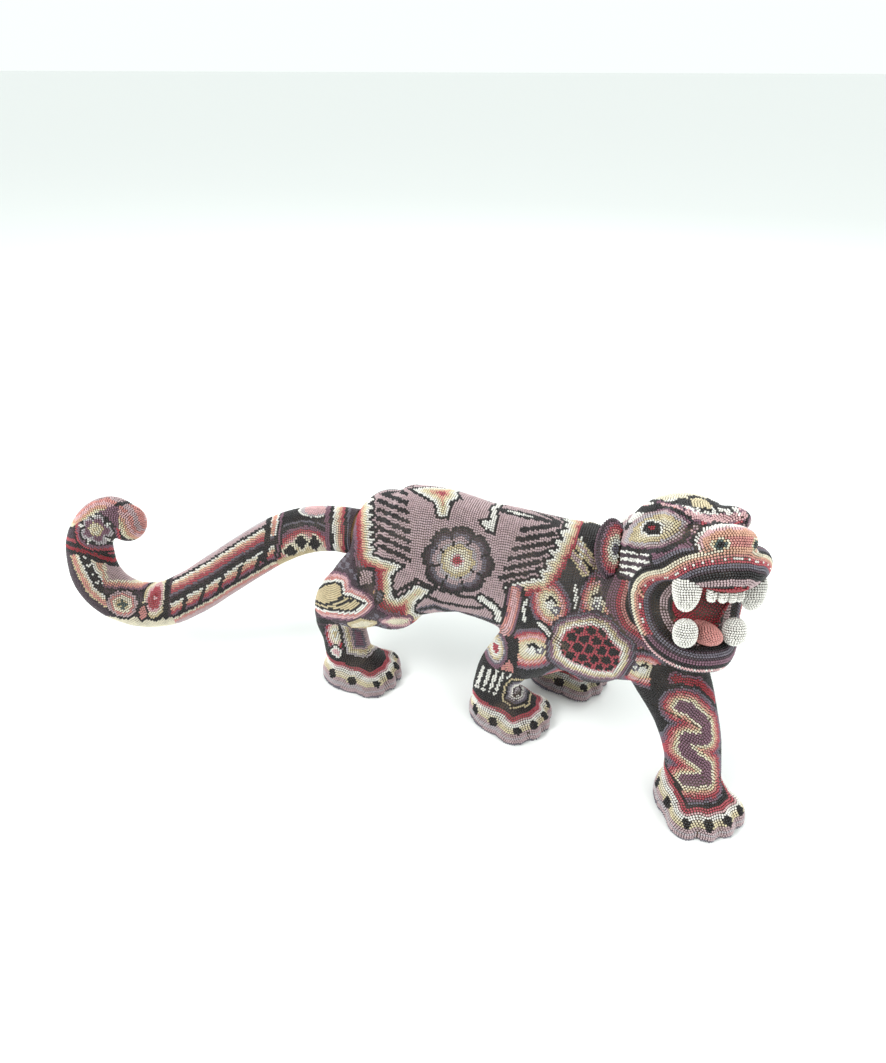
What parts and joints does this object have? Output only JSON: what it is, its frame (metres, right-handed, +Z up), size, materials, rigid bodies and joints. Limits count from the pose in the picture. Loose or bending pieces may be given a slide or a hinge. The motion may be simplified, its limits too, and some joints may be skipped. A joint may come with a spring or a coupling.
{
  "type": "beaded spotted cat figure",
  "caption": "Free-standing carved wild cat, prowling with an open mouth, covered all over in patterned glass beadwork, with a plug-in S-curved tail.",
  "frame": {"origin": "middle of the figure's box, on the floor under the paws", "axes": "+X from the tail to the nose, +Y to the animal's left, +Z up"},
  "size_m": [0.5884, 0.1984, 0.2388],
  "materials": {
    "carved_wood": "matte",
    "dowel_wood": "matte",
    "torso_beads": "glossy opaque seed beads in wax, mauve, black, orange, red and cream",
    "head_beads": "glossy opaque seed beads in wax, red, orange, cream, grey and black",
    "leg_beads": "glossy opaque seed beads in wax, cream, purple, red and black",
    "tail_beads": "glossy opaque seed beads in wax, cream, orange, red, mauve and black",
    "ear_beads": "glossy opaque seed beads in wax",
    "tooth_beads": "glossy white seed beads in wax",
    "tongue_beads": "glossy crimson seed beads in wax"
  },
  "bodies": {
    "figure": {"torso_beadwork": "torso_beads", "torso_core": "carved_wood", "head_beadwork": "head_beads", "head_core": "carved_wood", "neck_dowel": "dowel_wood", "ear_left": "ear_beads", "ear_right": "ear_beads", "upper_canine_left": "tooth_beads", "upper_canine_right": "tooth_beads", "lower_canine_left": "tooth_beads", "lower_canine_right": "tooth_beads", "incisor_1": "tooth_beads", "incisor_2": "tooth_beads", "incisor_3": "tooth_beads", "incisor_4": "tooth_beads", "tongue": "tongue_beads", "hind_right_leg_beadwork": "leg_beads", "hind_right_leg_core": "carved_wood", "hind_right_leg_dowel": "dowel_wood", "fore_right_leg_beadwork": "leg_beads", "fore_right_leg_core": "carved_wood", "fore_right_leg_dowel": "dowel_wood", "hind_left_leg_beadwork": "leg_beads", "hind_left_leg_core": "carved_wood", "hind_left_leg_dowel": "dowel_wood", "fore_left_leg_beadwork": "leg_beads", "fore_left_leg_core": "carved_wood", "fore_left_leg_dowel": "dowel_wood"},
    "tail": {"tail_beadwork": "tail_beads", "tail_core": "carved_wood", "tail_peg": "dowel_wood"}
  },
  "joints": [
    {"name": "tail_plug", "type": "slide", "parent": "figure", "child": "tail", "axis": [-1, 0, 0], "range_m": [0, 0.03]}
  ]
}
